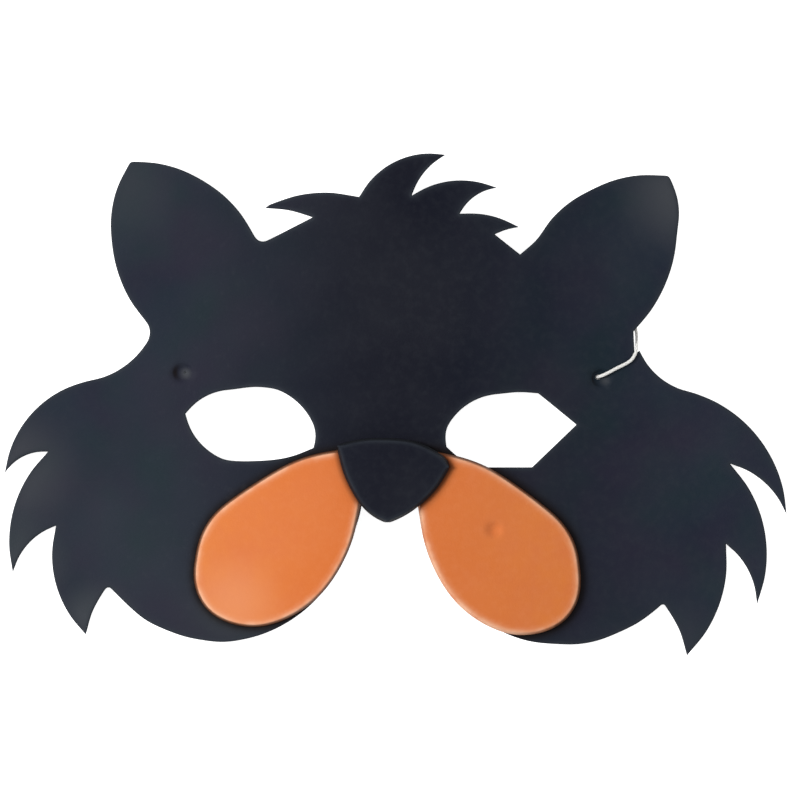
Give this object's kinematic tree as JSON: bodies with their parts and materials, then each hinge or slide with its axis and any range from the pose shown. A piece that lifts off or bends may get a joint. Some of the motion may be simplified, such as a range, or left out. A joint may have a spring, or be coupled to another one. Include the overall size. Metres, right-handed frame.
{
  "type": "foam cat mask",
  "caption": "Child's half mask of cut foam sheet, a cat's face with ears, cheek fur, eye holes, a raised nose, orange cheeks and a loose elastic.",
  "frame": {"origin": "on the surface that the mask lies on, under the middle of the foam sheet's outline", "axes": "+X to the right as the front is seen, +Y towards the ears, +Z out of the front"},
  "size_m": [0.2154, 0.1358, 0.0203],
  "materials": {
    "black_foam": "matt",
    "orange_foam": "matt",
    "white_elastic": "braided"
  },
  "bodies": {
    "root": {"face_sheet": "black_foam", "cheek_left": "orange_foam", "cheek_right": "orange_foam", "nose": "black_foam", "elastic_cord": "white_elastic", "knot_left": "white_elastic", "knot_right": "white_elastic"}
  },
  "joints": []
}
